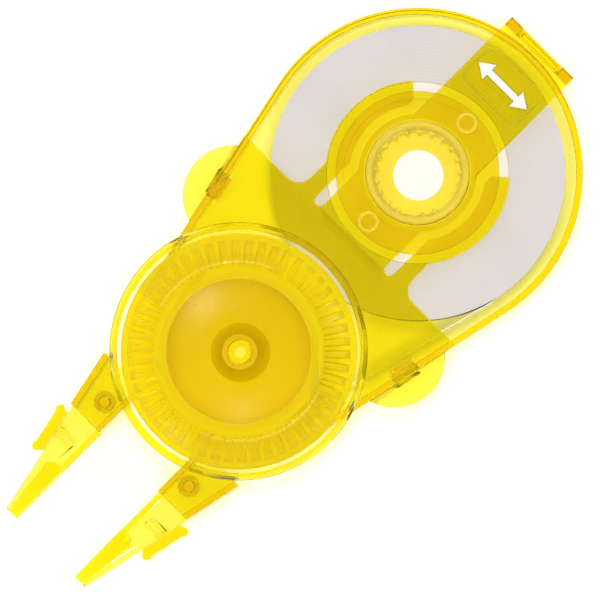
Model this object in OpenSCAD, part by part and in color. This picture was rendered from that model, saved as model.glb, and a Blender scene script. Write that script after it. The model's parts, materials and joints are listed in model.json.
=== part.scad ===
// Correction tape refill: a flat two-reel cartridge with two prongs for the tape head.
// Millimetres. X runs from the supply reel to the prong tips, Z from the rear face up.
// The origin is on the supply reel's axis, on the rear face.

/* [Layout] */
// Distance from the supply reel's axis to the take-up reel's axis
reel_gap = 21.4; // [21.2:0.1:22]
// Width of the tape
tape_w = 6; // [5:0.5:6]
// Height of the rear case's wall
case_h = 7.4; // [7.4:0.1:8]

/* [Case] */
// Outer radius of the case round the supply reel
case_r = 14; // [13.9:0.1:14.4]
// Outer radius of the case round the take-up reel
nose_r = 9.54; // [9.4:0.02:9.7]
// Thickness of the case's side wall
wall_t = 0.55; // [0.5:0.05:0.6]
// Thickness of the case's floor
floor_t = 0.6; // [0.5:0.05:0.8]

/* [Prongs] */
// X of the prong tips
prong_end_x = 44.9; // [43:0.1:46]
// Clear gap between the prongs
prong_gap = 7; // [6.6:0.1:7.2]
// Thickness of a prong's plate
prong_t = 1; // [0.9:0.1:1.2]
// Height of the wedge at a prong's tip
wedge_h = 4.4; // [3:0.1:5]

/* [Cover] */
// Thickness of the front cover
cover_t = 0.9; // [0.8:0.05:0.95]
// X of the cover's straight edge beside the supply reel
window_x = 8.1; // [8:0.05:8.3]
// Radius of a side ear
ear_r = 4.28; // [4:0.02:4.5]
// Thickness of a side ear
ear_t = 0.45; // [0.4:0.05:0.8]
// Half width of the latch tongue
tongue_half_w = 3.72; // [3.6:0.02:3.8]
// Width of the slot beside the tongue
slot_w = 0.94; // [0.8:0.02:1]

/* [Supply reel] */
// Outer radius of the full tape roll
roll_r = 12.5; // [11:0.1:12.6]
// Outer radius of the roll's core
core_r = 7.7; // [7.5:0.05:7.9]
// Outer radius of the hub
hub_r = 4.39; // [4.3:0.01:4.42]
// Radius of the hub's splined socket
socket_r = 3.65; // [3.6:0.05:3.7]
// Number of splines in the socket
spline_count = 21; // [18:1:24]
// Radius of the spindle hole in the hub's floor
spindle_r = 2.15; // [2:0.05:2.3]

/* [Take-up reel] */
// Outer radius of the finger wheel
wheel_r = 10; // [9.8:0.05:10]
// Number of ribs on the finger wheel
rib_count = 50; // [40:1:56]
// Outer radius of the take-up drum
drum_r = 6.8; // [6.7:0.05:6.85]
// Outer radius of the used tape on the drum
used_r = 7.1; // [7:0.05:8]
// Radius of the locating hole under the take-up axle
locating_r = 0.5; // [0.4:0.05:0.55]

/* [Hidden] */
$fn = 96;

seat = 0.02;                              // gap between pieces seated on each other
run = 0.06;                               // radial clearance of a running fit
eps = 0.01;
step = 0.03;                              // small step between faces that would else be flush
taper = asin((case_r - nose_r) / reel_gap);  // slope of the case's straight sides
reel_floor_z = floor_t + 0.1;             // underside of the reels' lower flanges
washer_t = 0.6;
washer_z = reel_floor_z + 0.5 + seat;
foot_z = washer_z + washer_t + seat;      // underside of the supply spool's foot
tape_z = 1.2;                             // lower edge of the tape
tape_top = tape_z + tape_w;
cover_z = case_h + seat;                  // underside of the front cover
cover_top = cover_z + cover_t;
tongue_z = case_h + 0.2;                  // underside of the tongue, clear of the rim
horn_in = 5.78;                           // inner radius of the cover's two horns
horn_out = 7.78;                          // outer radius of the horns
horn_angle = 132;                         // where a horn ends, from +X
window_y = 6.1;                           // half width of the cover's neck
window_fillet = 1.4;
ear_x = 12.4;
ear_y = 9.65;
collar_r = 10.95;                         // outer radius of the collar round the wheel
collar_in = wheel_r + 0.3;
collar_top = cover_top + 1.2;
wing_z = collar_top - 0.45;
wing_in = 7.5;
cap_x = 34.6;                             // end of the cover's caps on the prongs
prong_in = prong_gap / 2;                 // inner edge of a prong
prong_x = 29.5;                           // where a prong starts, inside the case
rail_t = 0.45;
wedge_x = 39.2;                           // start of the wedge at the tip
guide_x = 35.4;                           // start and length of a tape guide
guide_len = 3.9;
slit_xs = [36.65, 37.25];                 // the two slits across a prong
slit_y = 4.55;
slit_len = 1.75;
slit_w = 0.28;
roller_x = 32.5;
roller_y = 5.05;
roller_r = 0.95;
pin_r = 0.45;
hook_x = 12.8;                            // centre of the snap hooks
hook_w = 2.2;
axle_r = 1;
spool_r = 6.9;                            // outer radius of the supply spool
tongue_root_x = 8;
latch_x = case_r + 0.15;                  // inner face of the latch, beyond the rim
latch_t = 0.8;
wheel_z = case_h + 0.3;
wheel_top = wheel_z + 1.2;
rib_in = 7.3;                             // inner end of the wheel's ribs
rib_out = 9.5;
rib_base_z = wheel_z + 0.3;
drum_in = 6.3;
cup_r = 6.1;
boss_top = 4.9;
hub_top = cover_top + 0.3;

YELLOW = [0.97, 0.87, 0.05, 0.85];
PALE = [0.99, 0.94, 0.45, 0.7];

function polar(r, a) = [r * cos(a), r * sin(a)];

// Half width of the straight-sided outline at x, moved in by inset.
function side_y(x, inset = 0) = (case_r - inset - x * sin(taper)) / cos(taper);

// The closed case outline: two arcs joined by straight tangents.
module body_2d(inset = 0) {
    big = case_r - inset;
    small = nose_r - inset;
    circle(big);
    translate([reel_gap, 0]) circle(small);
    polygon([
        polar(big, 90 - taper), polar(big, taper - 90),
        [reel_gap + small * sin(taper), -small * cos(taper)],
        [reel_gap + small * sin(taper), small * cos(taper)]
    ]);
}

// One prong between two X values, from its inner edge to the tapering side.
module prong_2d(x0, x1, inner = prong_in, inset = 0) {
    polygon([[x0, inner], [x1, inner], [x1, side_y(x1, inset)], [x0, side_y(x0, inset)]]);
}

// Both sides of the X axis.
module both_sides() {
    children();
    mirror([0, 1, 0]) children();
}

// A sector of a disc, from angle a0 to a1, as a fan of straight edges.
module sector_2d(r, a0, a1) {
    steps = ceil((a1 - a0) / 30);
    reach = r / cos((a1 - a0) / steps / 2);
    polygon(concat([[0, 0]], [for (i = [0:steps]) polar(reach, a0 + (a1 - a0) * i / steps)]));
}

// Puts its children on the straight side: X along the wall, Y outwards.
module on_side(x) {
    translate([x, side_y(x), 0]) rotate(-taper) children();
}

module ring(r_out, r_in, z0, z1) {
    translate([0, 0, z0]) difference() {
        cylinder(r = r_out, h = z1 - z0);
        translate([0, 0, -1]) cylinder(r = r_in, h = z1 - z0 + 2);
    }
}

module slab(z0, z1) {
    translate([0, 0, z0]) linear_extrude(z1 - z0) children();
}

module at_take_up() {
    translate([reel_gap, 0, 0]) children();
}

// ---- Case ----

// Block round the guide roller, a hair inside the plate's side.
module prong_root() {
    slab(floor_t / 2, case_h) prong_2d(prong_x, cap_x, inset = step);
}

module prong() {
    slab(0, prong_t) prong_2d(prong_x, prong_end_x);
    // rail along the inner edge
    slab(floor_t / 2, 3) translate([31, prong_in + step]) square([9, rail_t]);
    // low lip along the outer edge, up to the tape guide
    slab(floor_t / 2, 2) difference() {
        prong_2d(cap_x - 0.3, guide_x - 0.3, inset = 2 * step);
        prong_2d(cap_x - 2, guide_x, inset = rail_t, inner = 0);
    }
    tip_wedge();
}

// Wedge on the inner side of the tip, which slopes down to the end.
module tip_wedge() {
    intersection() {
        slab(0, wedge_h + 1) polygon([
            [wedge_x, prong_in + step / 2], [prong_end_x - step, prong_in + step / 2],
            [prong_end_x - step, 4.5], [wedge_x + 0.5, 5.05], [wedge_x, 4.6]
        ]);
        translate([0, 8, 0]) rotate([90, 0, 0]) linear_extrude(8) polygon([
            [wedge_x - 1, 0.5], [prong_end_x + 1, 0.5], [prong_end_x + 1, 1.8],
            [prong_end_x - step, 2.2], [wedge_x + 0.6, wedge_h],
            [wedge_x - 0.1, wedge_h - 0.7], [wedge_x - 1, wedge_h - 0.7]
        ]);
    }
}

// Two slits across a prong, for the legs of its tape guide.
module guide_slits(clearance) {
    for (x = slit_xs)
        translate([x - clearance, slit_y - clearance, -1])
            cube([slit_w + 2 * clearance, slit_len + 2 * clearance, prong_t + 2]);
}

module rear_case() {
    color(YELLOW) difference() {
        union() {
            difference() {
                union() {
                    slab(0, case_h) body_2d();
                    both_sides() prong_root();
                }
                slab(floor_t, case_h + 1) body_2d(wall_t);
                // chambers for the guide rollers, open to the reels and to the prongs
                both_sides() slab(floor_t, case_h + 1)
                    prong_2d(prong_x - 0.5, cap_x + 1, inner = prong_in + rail_t, inset = wall_t);
            }
            both_sides() prong();
            at_take_up() cylinder(r = axle_r, h = boss_top + 0.1);
            both_sides() translate([roller_x, roller_y, 0]) cylinder(r = pin_r, h = case_h - 0.3);
        }
        // bearing hole of the hub
        translate([0, 0, -1]) cylinder(r = hub_r + run, h = floor_t + 2);
        // blind locating hole in the take-up axle
        at_take_up() translate([0, 0, -1]) cylinder(r = locating_r, h = 5);
        both_sides() guide_slits(seat);
        // windows for the snap hooks of the cover
        both_sides() on_side(hook_x)
            translate([-hook_w / 2 - 0.1, -wall_t - 0.3, 3.4]) cube([hook_w + 0.2, wall_t + 1, 1.7]);
        // shallow groove round the hub on the rear face
        ring(11, 10.4, -1, 0.15);
        at_take_up() ring(7, 6.5, -1, 0.15);
    }
}

// ---- Front cover ----

module cover_2d() {
    difference() {
        union() {
            intersection() {
                body_2d();
                translate([window_x, -20]) square([40, 40]);
            }
            translate([reel_gap, 0]) circle(collar_r);
            both_sides() prong_2d(prong_x, cap_x);
            // neck and horns round the core
            translate([0, -window_y]) square([window_x + 1, 2 * window_y]);
            both_sides() window_corner();
            intersection() {
                circle(horn_out);
                sector_2d(horn_out + 1, -horn_angle, horn_angle);
            }
        }
        circle(horn_in);
        translate([-20, -tongue_half_w]) square([20 + tongue_root_x, 2 * tongue_half_w]);
        both_sides() tongue_slot_2d();
        translate([reel_gap, 0]) circle(collar_in);
        // moulding holes above the snap hooks
        both_sides() translate([hook_x, side_y(hook_x)]) rotate(-taper)
            translate([-hook_w / 2 - 0.1, -wall_t - 0.55]) square([hook_w + 0.2, 0.4]);
        // clears the cavity left of the neck, beyond the horns
        translate([-20, -20]) square([20 + horn_out * cos(horn_angle), 40]);
    }
}

module window_corner() {
    difference() {
        translate([window_x - window_fillet, window_y - 0.1]) square(window_fillet + 0.1);
        translate([window_x - window_fillet, window_y + window_fillet]) circle(window_fillet);
    }
}

// Slot beside the tongue, with a round end at the root.
module tongue_slot_2d() {
    y = tongue_half_w + slot_w / 2;
    translate([-20, tongue_half_w - eps]) square([20 + tongue_root_x - slot_w / 2, slot_w + eps]);
    translate([tongue_root_x - slot_w / 2, y]) circle(slot_w / 2);
}

// A leg inside the wall with a barb that comes through the wall's window.
module snap_hook() {
    on_side(hook_x) {
        translate([-hook_w / 2, -wall_t - 0.55, 3.5]) cube([hook_w, 0.45, cover_z - 3.5 + 0.1]);
        translate([hook_w / 2, -wall_t - 0.15, 0]) rotate([0, -90, 0]) linear_extrude(hook_w)
            polygon([[3.5, 0], [4.3, wall_t + 0.5], [4.9, wall_t + 0.5], [4.9, 0]]);
    }
}

// Thin round ears outside the case, one on each side.
module ear_2d() {
    difference() {
        translate([ear_x, ear_y]) circle(ear_r);
        body_2d(0.2);
    }
}

module front_cover() {
    color(PALE) {
        slab(cover_z, cover_top) cover_2d();
        both_sides() slab(cover_z + step, cover_z + step + ear_t) ear_2d();
        both_sides() snap_hook();
    }
}

// ---- Latch tongue ----

module tongue_2d() {
    difference() {
        union() {
            translate([-latch_x - latch_t, -tongue_half_w + seat])
                square([latch_x + latch_t + tongue_root_x - 0.08, 2 * (tongue_half_w - seat)]);
            circle(4.95);
        }
        circle(hub_r + 0.2);
    }
}

module latch_tongue() {
    color(PALE) difference() {
        union() {
            slab(tongue_z, cover_top) tongue_2d();
            // hook over the case's rim, deeper at its two corners
            translate([-latch_x - latch_t, -3.6, 5]) cube([latch_t, 7.2, cover_top - 5 - eps]);
            both_sides() translate([-latch_x - latch_t - 0.05, 2.4, 3.2])
                cube([latch_t + 0.05, 1.25, cover_top - 3.2 - eps]);
            for (x = [-5.9, 5.9]) translate([x, 0, 0]) {
                ring(0.9, 0.62, cover_top - eps, cover_top + 0.12);
                translate([0, 0, cover_top - eps]) cylinder(r = 0.4, h = 0.13);
            }
        }
        translate([-latch_x - 0.55, -1.95, 6.4]) cube([0.28, 3.9, 4]);
    }
}

// ---- Supply reel ----

module spline_tooth() {
    translate([socket_r + 0.1, 0, 0]) linear_extrude(hub_top - floor_t - 0.4)
        polygon([[0.1, -0.42], [0.1, 0.42], [-0.42, 0.06], [-0.42, -0.06]]);
}

module supply_hub() {
    color(YELLOW) union() {
        difference() {
            union() {
                cylinder(r = hub_r, h = hub_top - 0.15);
                translate([0, 0, hub_top - 0.15 - eps])
                    cylinder(r1 = hub_r, r2 = hub_r - 0.15, h = 0.15 + eps);
                // lower flange that drives the clutch washer
                translate([0, 0, reel_floor_z]) cylinder(r = 6, h = 0.5);
            }
            translate([0, 0, floor_t]) cylinder(r = socket_r, h = 20);
            translate([0, 0, -1]) cylinder(r = spindle_r, h = 3);
            // lead-in chamfer
            translate([0, 0, hub_top - 0.3])
                cylinder(r1 = socket_r, r2 = socket_r + 0.35, h = 0.35);
        }
        translate([0, 0, floor_t - eps])
            for (i = [0:spline_count - 1]) rotate(i * 360 / spline_count) spline_tooth();
    }
}

module clutch_washer() {
    color("dimgray") ring(5.9, hub_r + 0.1, washer_z, washer_z + washer_t);
}

// Drum with a web near its top and a sleeve that stands on the clutch washer.
module supply_spool() {
    web_z = tape_top - 1;
    color([0.95, 0.75, 0.1, 0.9]) {
        difference() {
            union() {
                cylinder_at(6.5, web_z, web_z + 0.7);
                cylinder_at(5, foot_z, tape_top);
                cylinder_at(5.8, foot_z, foot_z + 0.5);
            }
            translate([0, 0, -1]) cylinder(r = hub_r + run, h = 20);
        }
        ring(spool_r, 6.3, tape_z, tape_top + 0.05);
        // six ribs between the sleeve and the drum
        for (i = [0:5]) rotate(30 + i * 60)
            translate([4.9, -0.25, foot_z + 0.3]) cube([1.6, 0.5, web_z - foot_z - 0.2]);
    }
}

module cylinder_at(r, z0, z1) {
    translate([0, 0, z0]) cylinder(r = r, h = z1 - z0);
}

module tape_core() {
    color("white") ring(core_r, spool_r + seat, tape_z, tape_top);
}

module tape_roll() {
    color([0.87, 0.85, 0.86]) ring(roll_r, core_r + seat, tape_z, tape_top);
}

// Straight run of tape, tangent to the roll and to the used tape on the drum.
module tape_leader() {
    lift = 0.07;                          // clearance from both coils
    tape_t = 0.08;
    lean = asin((roll_r - used_r) / reel_gap);
    run_len = reel_gap * cos(lean);
    color([0.93, 0.93, 0.9, 0.8]) rotate(-lean)
        translate([0, roll_r + lift, tape_z]) cube([run_len, tape_t, tape_w]);
}

// ---- Take-up reel ----

module take_up_spool() {
    dish_r = 14;
    color(YELLOW) at_take_up() difference() {
        union() {
            difference() {
                union() {
                    cylinder_at(8.5, reel_floor_z, reel_floor_z + 0.4);
                    cylinder_at(drum_r, reel_floor_z, wheel_z - seat);
                }
                translate([0, 0, 3.2]) cylinder(r = drum_in, h = 10);
                // dished floor
                intersection() {
                    translate([0, 0, 1]) cylinder(r = drum_in, h = 3);
                    translate([0, 0, dish_r + 1.7]) sphere(dish_r);
                }
            }
            // tapered boss that turns on the case's axle
            translate([0, 0, 1.5]) cylinder(r1 = 2.7, r2 = 1.5, h = boss_top - 1.5);
        }
        translate([0, 0, -1]) cylinder(r = axle_r + run, h = 10);
    }
}

// One rib of the finger wheel, with sloping sides.
module wheel_rib() {
    rib_h = wheel_top - rib_base_z;
    translate([rib_in - 0.2, 0, rib_base_z]) rotate([90, 0, 90]) linear_extrude(rib_out - rib_in + 0.2)
        polygon([[-0.42, 0], [0.42, 0], [0.16, rib_h], [-0.16, rib_h]]);
}

module take_up_wheel() {
    color(YELLOW) at_take_up() {
        rotate_extrude() polygon([
            [cup_r, wheel_z - 0.9], [drum_in - seat, wheel_z - 0.9], [drum_in - seat, wheel_z],
            [wheel_r, wheel_z], [wheel_r, wheel_z + 0.45], [rib_out + 0.2, wheel_z + 0.5],
            [rib_in, wheel_z + 0.5], [rib_in, wheel_top], [cup_r + 0.15, wheel_top],
            [cup_r, wheel_top - 0.15]
        ]);
        intersection() {
            for (i = [0:rib_count - 1]) rotate((i + 0.5) * 360 / rib_count) wheel_rib();
            // the ribs' tops slope down to a round end
            rotate_extrude() polygon([
                [rib_in - 0.1, wheel_z + 0.2], [rib_out - 0.02, wheel_z + 0.2],
                [rib_out - 0.1, rib_base_z + 0.3], [rib_out - 0.5, wheel_top - 0.25],
                [rib_in - 0.1, wheel_top - 0.05]
            ]);
        }
    }
}

module used_tape() {
    color([0.93, 0.93, 0.9]) at_take_up() difference() {
        ring(used_r - 0.03, drum_r + seat, tape_z, tape_top);
        rotate(-90) translate([5, -0.8, 0]) cube([4, 1.6, 20]);
    }
}

// Short adhesive strip that holds the start of the leader on the drum.
module leader_splice() {
    color("gold") at_take_up() rotate(-90 - 6) rotate_extrude(angle = 12)
        translate([drum_r + seat, tape_z + 0.2]) square([0.2, tape_w - 0.4]);
}

// ---- Collar round the finger wheel ----

module collar_sweep(a0, a1, profile) {
    rotate(a0) rotate_extrude(angle = a1 - a0) polygon(profile);
}

module wheel_collar() {
    z = cover_top + seat;
    color([1, 0.97, 0.7, 0.6]) at_take_up() {
        collar_sweep(20, 340, [
            [collar_in + 0.02, z], [collar_r, z], [collar_r, collar_top - 0.5],
            [collar_r - 0.35, collar_top], [collar_in + 0.02, collar_top]
        ]);
        // two wings that keep the wheel down
        for (a = [[20.5, 110], [199, 285]]) collar_sweep(a[0], a[1], [
            [wing_in, wing_z], [collar_in + 0.1, wing_z],
            [collar_in + 0.1, collar_top - eps], [wing_in + 0.2, collar_top - eps],
            [wing_in, collar_top - 0.2]
        ]);
    }
}

// ---- Prong fittings ----

module guide_roller() {
    translate([roller_x, roller_y, 0]) {
        ring(roller_r - 0.12, pin_r + run, prong_t + 0.15, case_h - 0.25);
        for (z = [prong_t + 0.15, case_h - 0.65]) ring(roller_r, pin_r + run, z, z + 0.4);
    }
}

module guide_roller_left() {
    color(PALE) mirror([0, 1, 0]) guide_roller();
}

module guide_roller_right() {
    color(PALE) guide_roller();
}

// Clip beside a prong: an outer bar with round ends and two legs in the slits.
module tape_guide() {
    bar_t = 0.9;
    bar_h = 3.4;
    on_side(guide_x) {
        translate([0, seat, 0.1]) cube([guide_len, bar_t, bar_h]);
        for (x = [0.1, guide_len - 0.1])
            translate([x, bar_t - 0.25, 0.1]) cylinder(r = 0.4, h = bar_h + 0.1);
        translate([1, -0.6, prong_t + seat]) cube([1.4, 1.1, 0.4]);
    }
    for (x = slit_xs) translate([x, slit_y, 0.1]) cube([slit_w, slit_len, 1.5]);
}

module tape_guide_left() {
    color(YELLOW) mirror([0, 1, 0]) tape_guide();
}

module tape_guide_right() {
    color(YELLOW) tape_guide();
}

rear_case();
front_cover();
latch_tongue();
wheel_collar();
supply_hub();
clutch_washer();
supply_spool();
tape_core();
tape_roll();
tape_leader();
take_up_spool();
take_up_wheel();
used_tape();
leader_splice();
guide_roller_left();
guide_roller_right();
tape_guide_left();
tape_guide_right();
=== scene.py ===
import json
import math

import bmesh
import bpy
from mathutils import Matrix, Vector
from mathutils.kdtree import KDTree
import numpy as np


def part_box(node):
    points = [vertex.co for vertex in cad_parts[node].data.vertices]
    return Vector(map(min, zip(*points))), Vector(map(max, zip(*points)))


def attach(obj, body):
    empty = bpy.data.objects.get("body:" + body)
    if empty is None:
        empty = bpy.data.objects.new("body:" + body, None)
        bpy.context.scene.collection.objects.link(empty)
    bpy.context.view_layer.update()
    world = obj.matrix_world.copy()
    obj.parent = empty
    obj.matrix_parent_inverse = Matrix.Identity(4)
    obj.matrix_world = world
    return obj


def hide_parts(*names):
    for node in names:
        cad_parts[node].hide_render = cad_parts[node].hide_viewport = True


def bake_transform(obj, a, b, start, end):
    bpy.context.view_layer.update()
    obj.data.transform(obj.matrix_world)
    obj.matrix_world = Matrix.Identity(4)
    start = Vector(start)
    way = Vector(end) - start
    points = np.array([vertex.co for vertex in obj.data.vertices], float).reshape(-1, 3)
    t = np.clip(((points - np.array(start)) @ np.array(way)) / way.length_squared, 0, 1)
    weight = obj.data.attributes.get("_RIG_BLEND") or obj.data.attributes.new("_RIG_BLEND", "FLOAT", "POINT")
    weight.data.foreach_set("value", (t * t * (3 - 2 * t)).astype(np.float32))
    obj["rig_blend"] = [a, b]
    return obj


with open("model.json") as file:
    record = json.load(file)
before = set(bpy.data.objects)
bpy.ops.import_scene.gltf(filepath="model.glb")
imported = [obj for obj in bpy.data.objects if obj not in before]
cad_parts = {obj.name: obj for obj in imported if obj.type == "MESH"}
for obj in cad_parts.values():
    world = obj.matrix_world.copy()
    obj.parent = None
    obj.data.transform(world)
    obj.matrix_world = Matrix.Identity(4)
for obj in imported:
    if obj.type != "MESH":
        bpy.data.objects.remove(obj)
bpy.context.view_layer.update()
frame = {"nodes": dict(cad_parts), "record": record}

MM = 0.001
NODES = frame["nodes"]
SLOTS = {s["node"]: s["material_slot"] for s in frame["record"]["subparts"]}
BODIES = {n: b for b, ns in frame["record"]["behaviour"]["bodies"].items() for n in ns}

# ---------------------------------------------------------------- places, from the frame


def centre(node):
    low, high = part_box(node)
    return (low + high) / 2


def top(node):
    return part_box(node)[1].z


SUPPLY = centre("tape_roll")
TAKE_UP = centre("take_up_wheel")
COVER_FACE = top("front_cover")

# The tongue grows out of the cover at the seam, and bends between there and TONGUE_BENT.
TONGUE_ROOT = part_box("latch_tongue")[1].x
SEAM = TONGUE_ROOT + 0.08 * MM
SEAM_HALF = 3.75 * MM
TONGUE_BENT = TONGUE_ROOT - 5 * MM

# ---------------------------------------------------------------- shader building blocks


class Shader:
    """A material's node tree, with short calls to add and join nodes."""

    def __init__(self, name):
        self.material = bpy.data.materials.new(name)
        self.material.use_nodes = True
        self.tree = self.material.node_tree
        self.tree.nodes.clear()
        self.output = self.tree.nodes.new("ShaderNodeOutputMaterial")

    def add(self, kind, settings=(), **sockets):
        node = self.tree.nodes.new(kind)
        for key, value in dict(settings).items():
            setattr(node, key, value)
        for key, value in sockets.items():
            self.put(node.inputs[key.replace("_", " ")], value)
        return node

    def put(self, socket, value):
        if isinstance(value, bpy.types.NodeSocket):
            self.tree.links.new(value, socket)
        else:
            socket.default_value = value

    def position(self, scale=1.0):
        """Object coordinates in millimetres, times scale."""
        coords = self.add("ShaderNodeTexCoord").outputs["Object"]
        mapping = self.add("ShaderNodeMapping", Vector=coords)
        mapping.inputs["Scale"].default_value = [scale / MM] * 3
        return mapping.outputs["Vector"]

    def noise(self, size_mm, detail=3.0, roughness=0.5):
        """Noise whose features are about size_mm across."""
        return self.add(
            "ShaderNodeTexNoise",
            Vector=self.position(1 / size_mm),
            Scale=1.0,
            Detail=detail,
            Roughness=roughness,
        ).outputs["Fac"]

    def span(self, value, low, high, from_low=0.3, from_high=0.7):
        """value remapped to low..high, clamped."""
        node = self.add("ShaderNodeMapRange", Value=value)
        node.inputs["From Min"].default_value = from_low
        node.inputs["From Max"].default_value = from_high
        node.inputs["To Min"].default_value = low
        node.inputs["To Max"].default_value = high
        return node.outputs["Result"]

    def weighted_sum(self, value, share, base):
        """value times share, plus base."""
        node = self.add("ShaderNodeMath", settings={"operation": "MULTIPLY_ADD"})
        self.put(node.inputs[0], value)
        self.put(node.inputs[1], share)
        self.put(node.inputs[2], base)
        return node.outputs[0]

    def bump(self, height, strength, distance_mm):
        node = self.add("ShaderNodeBump", Height=height)
        node.inputs["Strength"].default_value = strength
        node.inputs["Distance"].default_value = distance_mm * MM
        return node.outputs["Normal"]

    def blend(self, factor, a, b):
        node = self.add("ShaderNodeMix", settings={"data_type": "RGBA"})
        self.put(node.inputs[0], factor)
        self.put(node.inputs[6], a)
        self.put(node.inputs[7], b)
        return node.outputs[2]

    def done(self, surface, volume=None):
        self.put(self.output.inputs["Surface"], surface)
        if volume is not None:
            self.put(self.output.inputs["Volume"], volume)
        return self.material


# Light lost in each millimetre of the yellow plastic, for red, green and blue.
CASE_LOSS = (0.005, 0.035, 1.4)
COVER_LOSS = (0.040, 0.125, 4.5)
REEL_LOSS = (0.010, 0.040, 1.5)
WHEEL_LOSS = (0.008, 0.040, 1.5)
HUB_LOSS = (0.003, 0.015, 0.6)
GUIDE_LOSS = (0.010, 0.050, 1.6)
PALE_LOSS = (0.006, 0.035, 1.2)
# What one face of the cover lets through of the lamps' light.
COVER_SHADE = (0.985, 0.97, 0.80)


def clear_plastic(name, loss, rough=(0.03, 0.10), gloss=0.3,
                  lamp_colour=(0.97, 0.96, 0.94), cloud=0.0, tint=(1, 1, 1)):
    """See-through moulded plastic: tinted by its depth, with faint flow marks and a fine skin.

    cloud is the share of light that the plastic scatters, in the colour tint.
    """
    skin_share = 0.12
    s = Shader(name)
    flow = s.noise(4.0, detail=2.0)
    skin = s.noise(0.35, detail=4.0, roughness=0.6)
    relief = s.weighted_sum(skin, skin_share, flow)
    glass = s.add(
        "ShaderNodeBsdfPrincipled",
        Base_Color=(*tint, 1),
        Roughness=s.span(skin, *rough),
        IOR=1.45,
        Transmission_Weight=1.0 - cloud,
        Specular_IOR_Level=gloss,
        Normal=s.bump(relief, 0.2, 0.03),
    )
    # Light from the lamps and from matt pieces passes straight through.
    straight = s.add("ShaderNodeBsdfTransparent", Color=(*lamp_colour, 1))
    path = s.add("ShaderNodeLightPath")
    surface = glass
    for kind in ("Is Diffuse Ray", "Is Shadow Ray"):
        passing = s.add("ShaderNodeMixShader")
        s.put(passing.inputs[0], path.outputs[kind])
        s.put(passing.inputs[1], surface.outputs[0])
        s.put(passing.inputs[2], straight.outputs[0])
        surface = passing
    most = max(loss)
    volume = s.add(
        "ShaderNodeVolumeAbsorption",
        Color=(*[1 - part / most for part in loss], 1),
        Density=most / MM,
    )
    return s.done(surface.outputs[0], volume.outputs[0])


def solid_plastic(name, light, dark, rough=(0.35, 0.5), grain_mm=0.4, relief=0.2):
    """Moulded plastic that hides what is behind it."""
    s = Shader(name)
    cloud = s.noise(3.0, detail=2.0)
    grain = s.noise(grain_mm, detail=5.0, roughness=0.65)
    shader = s.add(
        "ShaderNodeBsdfPrincipled",
        Base_Color=s.blend(s.span(cloud, 0, 1), (*light, 1), (*dark, 1)),
        Roughness=s.span(grain, *rough),
        Normal=s.bump(grain, relief, 0.02),
    )
    return s.done(shader.outputs[0])


def wound_tape(name, light, dark, axis):
    """The edge of a coil of tape: fine rings about its axis."""
    ring_share = 0.2
    s = Shader(name)
    coords = s.add("ShaderNodeTexCoord").outputs["Object"]
    mapping = s.add("ShaderNodeMapping", Vector=coords)
    mapping.inputs["Location"].default_value = [-axis.x / MM, -axis.y / MM, 0]
    mapping.inputs["Scale"].default_value = [1 / MM, 1 / MM, 0]
    rings = s.add(
        "ShaderNodeTexWave",
        settings={"wave_type": "RINGS", "rings_direction": "Z"},
        Vector=mapping.outputs["Vector"],
        Scale=1.1,
        Distortion=1.5,
        Detail=3.0,
    ).outputs["Fac"]
    rings.node.inputs["Detail Scale"].default_value = 0.4
    broad = s.noise(5.0, detail=2.0)
    fine = s.noise(0.25, detail=4.0)
    tone = s.weighted_sum(rings, ring_share, s.span(broad, 0.0, 0.6))
    shader = s.add(
        "ShaderNodeBsdfPrincipled",
        Base_Color=s.blend(tone, (*light, 1), (*dark, 1)),
        Roughness=s.span(fine, 0.42, 0.58),
        Normal=s.bump(rings, 0.25, 0.03),
    )
    return s.done(shader.outputs[0])


def film(name, tint, rough):
    """Thin plastic film with a slight gloss."""
    s = Shader(name)
    crinkle = s.noise(1.2, detail=3.0)
    shader = s.add(
        "ShaderNodeBsdfPrincipled",
        Base_Color=s.blend(s.span(crinkle, 0, 1), (*tint, 1), (*[c * 0.93 for c in tint], 1)),
        Roughness=s.span(crinkle, *rough),
        Normal=s.bump(crinkle, 0.15, 0.05),
    )
    return s.done(shader.outputs[0])


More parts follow.
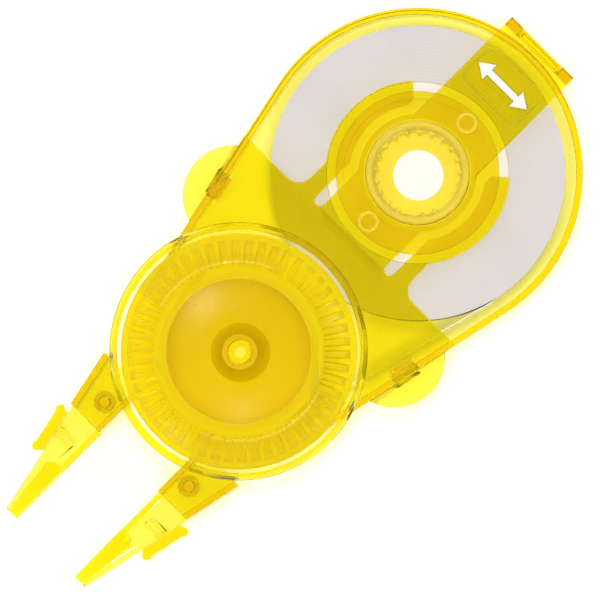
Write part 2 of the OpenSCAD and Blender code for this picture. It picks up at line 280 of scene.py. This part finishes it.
MATERIALS = {
    "case_plastic": clear_plastic("case_yellow", CASE_LOSS),
    "cover_plastic": clear_plastic("cover_yellow", COVER_LOSS, lamp_colour=COVER_SHADE),
    "tongue_plastic": clear_plastic("tongue_yellow", COVER_LOSS, lamp_colour=COVER_SHADE),
    "collar_plastic": clear_plastic("collar_pale", PALE_LOSS, rough=(0.06, 0.12)),
    "hub_plastic": clear_plastic("hub_yellow", HUB_LOSS, rough=(0.1, 0.2),
                                 cloud=0.35, tint=(1.0, 0.88, 0.14)),
    "spool_plastic": solid_plastic("spool_yellow", (0.87, 0.70, 0.01), (0.81, 0.65, 0.01),
                                   rough=(0.3, 0.45), grain_mm=0.5, relief=0.12),
    "reel_plastic": clear_plastic("reel_yellow", REEL_LOSS, rough=(0.3, 0.4),
                                  gloss=0.08, cloud=0.4, tint=(0.87, 0.69, 0.01)),
    "wheel_plastic": clear_plastic("wheel_yellow", WHEEL_LOSS, rough=(0.04, 0.09),
                                   cloud=0.4, tint=(0.95, 0.79, 0.01)),
    "mark_plastic": clear_plastic("mark_yellow", REEL_LOSS, rough=(0.05, 0.1), gloss=0.6,
                                  cloud=0.5, tint=(0.95, 0.78, 0.06)),
    "guide_plastic": clear_plastic("guide_yellow", GUIDE_LOSS),
    "roller_plastic": clear_plastic("roller_yellow", CASE_LOSS, rough=(0.2, 0.35)),
    "washer_rubber": solid_plastic("washer_rubber", (0.85, 0.72, 0.25), (0.78, 0.64, 0.2),
                                   rough=(0.6, 0.8), grain_mm=0.2, relief=0.4),
    "core_plastic": solid_plastic("core_white", (0.93, 0.87, 0.80), (0.89, 0.83, 0.77)),
    "tape": wound_tape("tape_edges", (0.73, 0.68, 0.65), (0.65, 0.61, 0.588), SUPPLY),
    "liner": wound_tape("liner_edges", (0.86, 0.85, 0.8), (0.76, 0.75, 0.7), TAKE_UP),
    "tape_strip": film("tape_film", (0.9, 0.89, 0.87), (0.25, 0.4)),
    "splice_film": film("splice_film", (0.9, 0.6, 0.05), (0.2, 0.35)),
}


def finish_with(obj, slot):
    """Gives obj the material of a slot, and no other."""
    obj.data.materials.clear()
    obj.data.materials.append(MATERIALS[slot])


# ---------------------------------------------------------------- pieces

BEVEL_WEIGHT = "bevel_weight_edge"


def crowded(edges, reach):
    """The edges that have another of these edges beside them, closer than reach."""
    samples = []
    for edge in edges:
        a, b = (v.co for v in edge.verts)
        steps = max(1, math.ceil((b - a).length / reach))
        samples += [(a.lerp(b, (i + 0.5) / steps), edge) for i in range(steps)]
    tree = KDTree(len(samples))
    for i, (point, _) in enumerate(samples):
        tree.insert(point, i)
    tree.balance()
    found = set()
    for point, edge in samples:
        for _, i, _ in tree.find_range(point, reach):
            other = samples[i][1]
            if other is not edge and not set(edge.verts) & set(other.verts):
                found.add(edge)
    return found


def on_seam(co):
    """True for a point on the cover's edge that the tongue's root joins."""
    return abs(co.x - SEAM) < 0.01 * MM and abs(co.y) < SEAM_HALF


def opened_at_seam(mesh):
    """Takes away the faces on the seam, so that cover and tongue read as one sheet."""
    seam = [f for f in mesh.faces if all(on_seam(v.co) for v in f.verts)]
    bmesh.ops.delete(mesh, geom=seam, context="FACES_ONLY")


def welded(node, width_mm, sharp_keeper=None):
    """A node's mesh with its faces joined up, and the edges to round marked with a bevel weight.

    Edges stay sharp where sharp_keeper is true for both ends, or where there's no room to round.
    """
    weld_reach = 0.002 * MM
    flat_angle = math.radians(0.4)
    corner_angle = math.radians(32)
    room = 2.1 * width_mm * MM
    mesh = bmesh.new()
    mesh.from_mesh(NODES[node].data)
    bmesh.ops.remove_doubles(mesh, verts=mesh.verts, dist=weld_reach)
    bmesh.ops.dissolve_limit(mesh, angle_limit=flat_angle, verts=mesh.verts, edges=mesh.edges)
    weight = mesh.edges.layers.float.new(BEVEL_WEIGHT)
    corners = [e for e in mesh.edges if e.calc_face_angle(0) > corner_angle]
    tight = crowded(corners, room)
    for edge in corners:
        kept = sharp_keeper is not None and all(sharp_keeper(v.co) for v in edge.verts)
        edge.smooth = not (kept or edge in tight)
        edge[weight] = float(edge.smooth)
    return mesh


def flats_stay_flat(piece):
    """Shades flat faces as flat, and the rounded edges between them as round."""
    normals = piece.modifiers.new("flat_faces_stay_flat", "WEIGHTED_NORMAL")
    normals.weight = 100
    normals.keep_sharp = True


def rounded(piece, width_mm):
    """Rounds the edges that carry a bevel weight."""
    bevel = piece.modifiers.new("rounded_edges", "BEVEL")
    bevel.width = width_mm * MM
    bevel.segments = 2
    bevel.limit_method = "WEIGHT"
    bevel.use_clamp_overlap = False


def mesh_data(mesh, name):
    """Turns a bmesh into named mesh data, and frees it."""
    data = bpy.data.meshes.new(name)
    mesh.to_mesh(data)
    mesh.free()
    return data


def shown(name, data):
    """A new object in the scene."""
    obj = bpy.data.objects.new(name, data)
    bpy.context.scene.collection.objects.link(obj)
    return obj


def softened(node, width_mm, sharp_keeper=None):
    """A copy of a CAD node with rounded edges, which stands for the node."""
    mesh = welded(node, width_mm, sharp_keeper)
    if sharp_keeper is on_seam:
        opened_at_seam(mesh)
    data = mesh_data(mesh, f"{node}_moulded")
    data.shade_smooth()
    piece = shown(f"{node}_moulded", data)
    rounded(piece, width_mm)
    flats_stay_flat(piece)
    finish_with(piece, SLOTS[node])
    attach(piece, BODIES[node])
    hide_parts(node)


def bends_with_tongue(piece):
    """piece follows the cover at the seam and the tongue past TONGUE_BENT."""
    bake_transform(piece, "case", "tongue", start=(SEAM, 0, 0), end=(TONGUE_BENT, 0, 0))


def tongue_blank(width_mm):
    """The tongue's mesh, grown to the seam and open there, with its edges marked for rounding."""
    near_root = TONGUE_ROOT - 0.1 * MM
    mesh = welded("latch_tongue", width_mm, sharp_keeper=lambda co: co.x > near_root)
    for vert in mesh.verts:
        if vert.co.x > near_root:
            vert.co.x = SEAM
    opened_at_seam(mesh)
    # The two round marks stand a little above the face. Their rims are rounded, however close.
    weight = mesh.edges.layers.float[BEVEL_WEIGHT]
    rim_z = COVER_FACE + 0.1 * MM
    for edge in mesh.edges:
        if all(v.co.z > rim_z for v in edge.verts):
            edge.smooth = True
            edge[weight] = 1.0
    return mesh


def sliced(data, start, end, pieces):
    """Cuts a mesh across X into slices of equal length from start to end, so that it can bend."""
    mesh = bmesh.new()
    mesh.from_mesh(data)
    for i in range(1, pieces):
        bmesh.ops.bisect_plane(
            mesh,
            geom=mesh.verts[:] + mesh.edges[:] + mesh.faces[:],
            plane_co=(start + (end - start) * i / pieces, 0, 0),
            plane_no=(1, 0, 0),
        )
    mesh.to_mesh(data)
    mesh.free()


def tongue():
    """The flexing arm, as one piece that bends at its root instead of turning on a hinge."""
    rounding_mm = 0.08
    data = mesh_data(tongue_blank(rounding_mm), "latch_tongue_flexing")
    data.shade_smooth()
    piece = shown("latch_tongue_flexing", data)
    rounded(piece, rounding_mm)
    bpy.context.view_layer.update()
    shape = bpy.data.meshes.new_from_object(
        piece.evaluated_get(bpy.context.evaluated_depsgraph_get())
    )
    piece.modifiers.clear()
    piece.data = shape
    sliced(shape, TONGUE_ROOT, TONGUE_BENT, pieces=10)
    finish_with(piece, SLOTS["latch_tongue"])
    flats_stay_flat(piece)
    bends_with_tongue(piece)
    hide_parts("latch_tongue")


def round_mark(name, x):
    """A thin raised ring that an ejector pin left on the tongue, over the ring of the CAD."""
    radius, wire = 0.76 * MM, 0.17 * MM
    mesh = bmesh.new()
    bmesh.ops.create_circle(
        mesh,
        segments=12,
        radius=wire,
        matrix=Matrix.Translation((radius, 0, 0)) @ Matrix.Rotation(math.radians(90), 4, "X"),
    )
    bmesh.ops.spin(
        mesh,
        geom=mesh.verts[:] + mesh.edges[:],
        axis=(0, 0, 1),
        cent=(0, 0, 0),
        angle=math.radians(360),
        steps=48,
        use_merge=True,
    )
    bmesh.ops.recalc_face_normals(mesh, faces=mesh.faces[:])
    bmesh.ops.translate(mesh, verts=mesh.verts, vec=(x, 0, COVER_FACE))
    data = mesh_data(mesh, name)
    data.shade_smooth()
    data.materials.append(MATERIALS["mark_plastic"])
    bends_with_tongue(shown(name, data))


def on_tongue(name, data, material):
    """A piece that lies on the stiff end of the tongue."""
    data.materials.append(material)
    piece = shown(name, data)
    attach(piece, "tongue")


def width_mark(x, y_low, y_high):
    """A plain printed arrow with two heads, across the tongue."""
    stem_half, head_half, head_length = 0.28 * MM, 0.85 * MM, 1.25 * MM
    ink = 0.025 * MM
    middle = (y_low + y_high) / 2
    half = (y_high - y_low) / 2
    neck = half - head_length
    quarter = [(half, 0), (neck, head_half), (neck, stem_half)]
    outline = quarter + [(-u, v) for u, v in reversed(quarter)]
    outline += [(-u, -v) for u, v in quarter[1:]]
    outline += [(u, -v) for u, v in reversed(quarter[1:])]
    mesh = bmesh.new()
    face = mesh.faces.new([mesh.verts.new((x + v, middle + u, COVER_FACE)) for u, v in outline])
    raised = bmesh.ops.extrude_face_region(mesh, geom=[face])["geom"]
    for vert in (g for g in raised if isinstance(g, bmesh.types.BMVert)):
        vert.co.z += ink
    bmesh.ops.recalc_face_normals(mesh, faces=mesh.faces[:])
    print_white = solid_plastic("print_white", (0.95, 0.95, 0.93), (0.88, 0.88, 0.86),
                                rough=(0.35, 0.55), grain_mm=0.15, relief=0.3)
    on_tongue("width_mark", mesh_data(mesh, "width_mark"), print_white)


def moulded_frame(x_low, x_high, y_low, y_high):
    """A thin raised line with round corners, round the printed mark."""
    corner_r, wire = 0.6 * MM, 0.07 * MM
    steps = 6
    inner_x = (x_low + corner_r, x_high - corner_r)
    inner_y = (y_low + corner_r, y_high - corner_r)
    points = []
    for quarter, (right, far) in enumerate(((1, 1), (0, 1), (0, 0), (1, 0))):
        for i in range(steps + 1):
            a = math.radians(90 * (quarter + i / steps))
            x = inner_x[right] + corner_r * math.cos(a)
            y = inner_y[far] + corner_r * math.sin(a)
            points.append((x, y, COVER_FACE, 1))
    curve = bpy.data.curves.new("moulded_frame", "CURVE")
    curve.dimensions = "3D"
    spline = curve.splines.new("POLY")
    spline.points.add(len(points) - 1)
    for point, co in zip(spline.points, points):
        point.co = co
    spline.use_cyclic_u = True
    curve.bevel_depth = wire
    curve.bevel_resolution = 3
    on_tongue("moulded_frame", curve, MATERIALS["tongue_plastic"])


for name, obj in NODES.items():
    finish_with(obj, SLOTS[name])

softened("rear_case", 0.08)
softened("front_cover", 0.08, sharp_keeper=on_seam)
softened("supply_hub", 0.06)
softened("take_up_wheel", 0.04)
tongue()
width_mark(-10.3 * MM, -2.95 * MM, 2.75 * MM)
moulded_frame(-12.2 * MM, -8.4 * MM, -3.15 * MM, 3.0 * MM)
round_mark("round_mark_outer", -5.9 * MM)
round_mark("round_mark_inner", 5.9 * MM)

# ---------------------------------------------------------------- stage, light and camera


def floor():
    """A plain white floor that glows a little, just under the part."""
    half = 1.5
    corners = [(-half, -half, 0), (half, -half, 0), (half, half, 0), (-half, half, 0)]
    mesh = bpy.data.meshes.new("floor")
    mesh.from_pydata(corners, [], [(0, 1, 2, 3)])
    obj = shown("floor", mesh)
    s = Shader("floor_white")
    cloud = s.noise(40.0)
    shader = s.add(
        "ShaderNodeBsdfPrincipled",
        Base_Color=s.blend(s.span(cloud, 0, 1), (0.93, 0.93, 0.93, 1), (0.9, 0.9, 0.9, 1)),
        Roughness=0.9,
        Emission_Color=(1, 1, 1, 1),
        Emission_Strength=0.22,
    )
    obj.data.materials.append(s.done(shader.outputs[0]))
    obj.location.z = -0.05 * MM


def softbox(name, place, size, watts, matt=True, glints=False):
    """A soft lamp aimed at the part, which lights matt faces, shiny ones (glints), or both."""
    aim = Vector((0.015, 0, 0.004))
    light = bpy.data.lights.new(name, "AREA")
    light.size = size
    light.energy = watts
    obj = shown(name, light)
    obj.visible_diffuse = matt
    obj.visible_glossy = glints
    obj.visible_transmission = glints
    obj.location = place
    obj.rotation_euler = (aim - Vector(place)).to_track_quat("-Z", "Y").to_euler()


def tent():
    """The world: white round the horizon, and darker straight above."""
    horizon, horizon_z = 1.0, 0.22
    zenith, zenith_z = 0.17, 0.65
    world = bpy.data.worlds.new("studio")
    world.use_nodes = True
    tree = world.node_tree
    coords = tree.nodes.new("ShaderNodeTexCoord")
    split = tree.nodes.new("ShaderNodeSeparateXYZ")
    tree.links.new(coords.outputs["Generated"], split.inputs[0])
    glow = tree.nodes.new("ShaderNodeValToRGB")
    glow.color_ramp.interpolation = "EASE"
    first, last = glow.color_ramp.elements
    first.position, first.color = horizon_z, (horizon, horizon, horizon, 1)
    last.position, last.color = zenith_z, (zenith, zenith, zenith, 1)
    tree.links.new(split.outputs["Z"], glow.inputs["Fac"])
    background = tree.nodes["Background"]
    tree.links.new(glow.outputs["Color"], background.inputs["Color"])
    background.inputs["Strength"].default_value = 0.95
    bpy.context.scene.world = world


def lamps():
    """Three lamps almost overhead for the matt faces, and two low ones that show in shiny edges."""
    high, size, watts = 1.6, 0.16, 6.2
    softbox("lamp_a", (-0.16, -0.10, high), size, watts)
    softbox("lamp_b", (0.19, -0.08, high), size, watts)
    softbox("lamp_c", (0.02, 0.20, high), size, watts)
    softbox("key", (-0.30, -0.35, 0.55), 0.12, 0.5, glints=True)
    softbox("rim", (0.10, 0.50, 0.55), 0.15, 1.5, matt=False, glints=True)


def camera():
    """Almost straight down, with the prongs towards the lower left."""
    target = Vector((14.66 * MM, 0.48 * MM, 4 * MM))
    distance = 1.0
    frame_width = 51 * MM
    sensor_mm = 36
    data = bpy.data.cameras.new("camera")
    data.sensor_width = sensor_mm
    data.lens = sensor_mm * distance / frame_width
    data.clip_start = 0.01
    obj = shown("camera", data)
    turn = Matrix.Rotation(math.radians(135), 4, "Z")
    lean = Matrix.Rotation(math.radians(-1.5), 4, "X")
    back = Matrix.Translation((0, 0, distance))
    obj.matrix_world = Matrix.Translation(target) @ lean @ turn @ back
    bpy.context.scene.camera = obj


def show_clear_plastic_well():
    """Plain colours, and enough bounces for light to get through every layer of the part."""
    scene = bpy.context.scene
    scene.view_settings.view_transform = "Standard"
    scene.cycles.transparent_max_bounces = 64
    scene.cycles.max_bounces = 48
    scene.cycles.transmission_bounces = 48


floor()
tent()
lamps()
camera()
show_clear_plastic_well()
